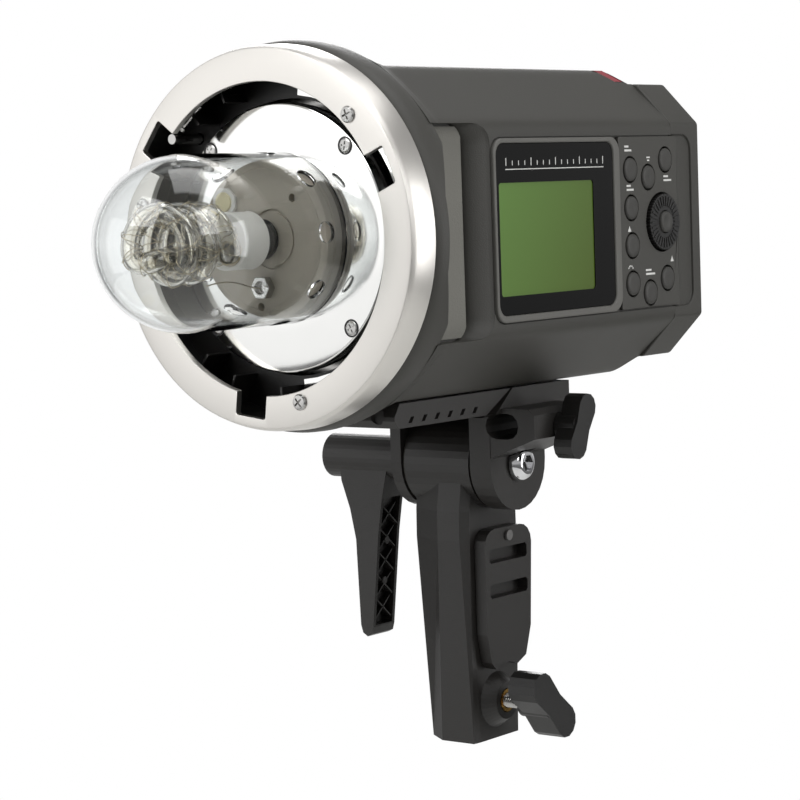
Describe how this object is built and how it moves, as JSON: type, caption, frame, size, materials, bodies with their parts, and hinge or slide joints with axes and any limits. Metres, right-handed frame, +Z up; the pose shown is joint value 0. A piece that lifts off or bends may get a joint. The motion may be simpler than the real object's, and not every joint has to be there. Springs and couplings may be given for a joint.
{
  "type": "monolight strobe",
  "caption": "Battery monolight studio flash: ring-mount head with glass dome, side control panel, tilting bracket, umbrella clamp and stand-socket handle.",
  "frame": {"origin": "centre of the stand socket's mouth, at the bottom of the handle", "axes": "+Z up along the stand socket, -Y the way the lamp faces, +X the control panel's side"},
  "size_m": [0.1486, 0.2958, 0.2855],
  "materials": {
    "satin_aluminium": "satin anodised, spun and bead blasted",
    "polished_aluminium": "polished reflector sheet",
    "steel": "plated steel, bright",
    "black_plastic": "moulded black nylon, fine grain",
    "friction_lining": "pressed fibre lining, dull",
    "ceramic": "glazed white ceramic",
    "lamp_base_grey": "fired ceramic, warm grey",
    "clear_glass": "clear borosilicate glass, smooth",
    "casing_plastic": "moulded dark grey polymer, fine spark grain",
    "grip_plastic": "grey polymer, coarser grip grain",
    "red_window": "dark red translucent acrylic",
    "display_glass": "black printed display window, glossy",
    "lcd_green": "green backlit liquid-crystal panel",
    "key_plastic": "moulded grey rubbery keys",
    "handle_plastic": "glass-filled black nylon, fine grain",
    "brass": "turned brass",
    "circuit_board": "glass-fibre board with green resist",
    "capacitor_sleeve": "shrunk dark blue sleeve"
  },
  "bodies": {
    "handle": {"handle_column": "handle_plastic", "handle_cover": "handle_plastic", "cover_screw": "steel", "brass_insert": "brass"},
    "head": {"battery_tray": "black_plastic", "bracket_foot": "casing_plastic", "charger_board": "circuit_board", "chassis_plate": "steel", "control_board": "circuit_board", "display_frame": "casing_plastic", "display_window": "display_glass", "fan_frame": "black_plastic", "flash_capacitor_1": "capacitor_sleeve", "flash_capacitor_2": "capacitor_sleeve", "flash_tube": "clear_glass", "friction_disc_left": "friction_lining", "friction_disc_right": "friction_lining", "glass_dome": "clear_glass", "grip_pad_left": "grip_plastic", "grip_pad_right": "grip_plastic", "keypad_plate": "casing_plastic", "lamp_base": "lamp_base_grey", "lamp_socket": "black_plastic", "lcd_module": "lcd_green", "main_casing": "casing_plastic", "modelling_led": "ceramic", "mount_drum": "black_plastic", "mount_ring": "satin_aluminium", "port_panel": "black_plastic", "rear_cover": "casing_plastic", "receiver_window": "red_window", "reflector_apron": "polished_aluminium", "reflector_disc": "polished_aluminium", "ring_screw_1": "steel", "ring_screw_2": "steel", "ring_screw_3": "steel", "tilt_bolt": "steel", "tilt_bracket": "handle_plastic", "trigger_terminal": "steel", "tube_collar": "ceramic"},
    "lever": {"tilt_lever": "black_plastic"},
    "umbrella_clamp": {"umbrella_knob": "black_plastic", "umbrella_screw": "steel"},
    "stand_clamp": {"stand_knob": "black_plastic", "stand_screw": "steel"},
    "dial": {"control_dial": "black_plastic"},
    "set_key": {"set_button": "key_plastic"},
    "battery": {"battery_pack": "casing_plastic"},
    "latch": {"battery_latch": "grip_plastic"},
    "lock_release": {"lock_pin": "steel", "release_slider": "black_plastic"},
    "fan": {"fan_rotor": "black_plastic"},
    "mode_key": {"mode_button": "key_plastic"},
    "beep_key": {"beep_button": "key_plastic"},
    "group_key": {"group_button": "key_plastic"},
    "menu_key": {"menu_button": "key_plastic"},
    "sync_key": {"sync_button": "key_plastic"},
    "lamp_key": {"lamp_button": "key_plastic"},
    "power_key": {"power_button": "key_plastic"},
    "test_key": {"test_button": "key_plastic"}
  },
  "joints": [
    {"name": "head_tilt", "type": "hinge", "parent": "handle", "child": "head", "pos_m": [0, 0, 0.115], "axis": [1, 0, 0], "range_deg": [-80, 80]},
    {"name": "lever_turn", "type": "hinge", "parent": "head", "child": "lever", "pos_m": [0, 0, 0.115], "axis": [1, 0, 0], "range_deg": [-90, 90]},
    {"name": "umbrella_knob_turn", "type": "hinge", "parent": "head", "child": "umbrella_clamp", "pos_m": [0.055, -0.0005, 0.131], "axis": [1, 0, 0], "continuous": true},
    {"name": "stand_knob_turn", "type": "hinge", "parent": "handle", "child": "stand_clamp", "pos_m": [0.035, 0, 0.016], "axis": [1, 0, 0], "continuous": true},
    {"name": "dial_turn", "type": "hinge", "parent": "head", "child": "dial", "pos_m": [0.0619, 0.0613, 0.2106], "axis": [1, 0, 0], "continuous": true},
    {"name": "set_key_press", "type": "slide", "parent": "head", "child": "set_key", "axis": [-1, 0, 0], "range_m": [0, 0.0005], "stiffness_N_per_m": 1500, "springref_m": -0.0004},
    {"name": "battery_slide", "type": "slide", "parent": "head", "child": "battery", "axis": [-1, 0, 0], "range_m": [0, 0.035]},
    {"name": "latch_slide", "type": "slide", "parent": "battery", "child": "latch", "axis": [0, 1, 0], "range_m": [0, 0.004], "stiffness_N_per_m": 400, "springref_m": -0.0015},
    {"name": "lock_draw", "type": "slide", "parent": "head", "child": "lock_release", "axis": [0, 1, 0], "range_m": [0, 0.006], "stiffness_N_per_m": 500, "springref_m": -0.003},
    {"name": "fan_spin", "type": "hinge", "parent": "head", "child": "fan", "pos_m": [0, 0.062, 0.216], "axis": [0, 1, 0], "continuous": true},
    {"name": "mode_key_press", "type": "slide", "parent": "head", "child": "mode_key", "axis": [-1, 0, 0], "range_m": [0, 0.0005], "stiffness_N_per_m": 1500, "springref_m": -0.0004},
    {"name": "beep_key_press", "type": "slide", "parent": "head", "child": "beep_key", "axis": [-1, 0, 0], "range_m": [0, 0.0005], "stiffness_N_per_m": 1500, "springref_m": -0.0004},
    {"name": "group_key_press", "type": "slide", "parent": "head", "child": "group_key", "axis": [-1, 0, 0], "range_m": [0, 0.0005], "stiffness_N_per_m": 1500, "springref_m": -0.0004},
    {"name": "menu_key_press", "type": "slide", "parent": "head", "child": "menu_key", "axis": [-1, 0, 0], "range_m": [0, 0.0005], "stiffness_N_per_m": 1500, "springref_m": -0.0004},
    {"name": "sync_key_press", "type": "slide", "parent": "head", "child": "sync_key", "axis": [-1, 0, 0], "range_m": [0, 0.0005], "stiffness_N_per_m": 1500, "springref_m": -0.0004},
    {"name": "lamp_key_press", "type": "slide", "parent": "head", "child": "lamp_key", "axis": [-1, 0, 0], "range_m": [0, 0.0005], "stiffness_N_per_m": 1500, "springref_m": -0.0004},
    {"name": "power_key_press", "type": "slide", "parent": "head", "child": "power_key", "axis": [-1, 0, 0], "range_m": [0, 0.0005], "stiffness_N_per_m": 1500, "springref_m": -0.0004},
    {"name": "test_key_press", "type": "slide", "parent": "head", "child": "test_key", "axis": [-1, 0, 0], "range_m": [0, 0.0005], "stiffness_N_per_m": 1500, "springref_m": -0.0004}
  ]
}
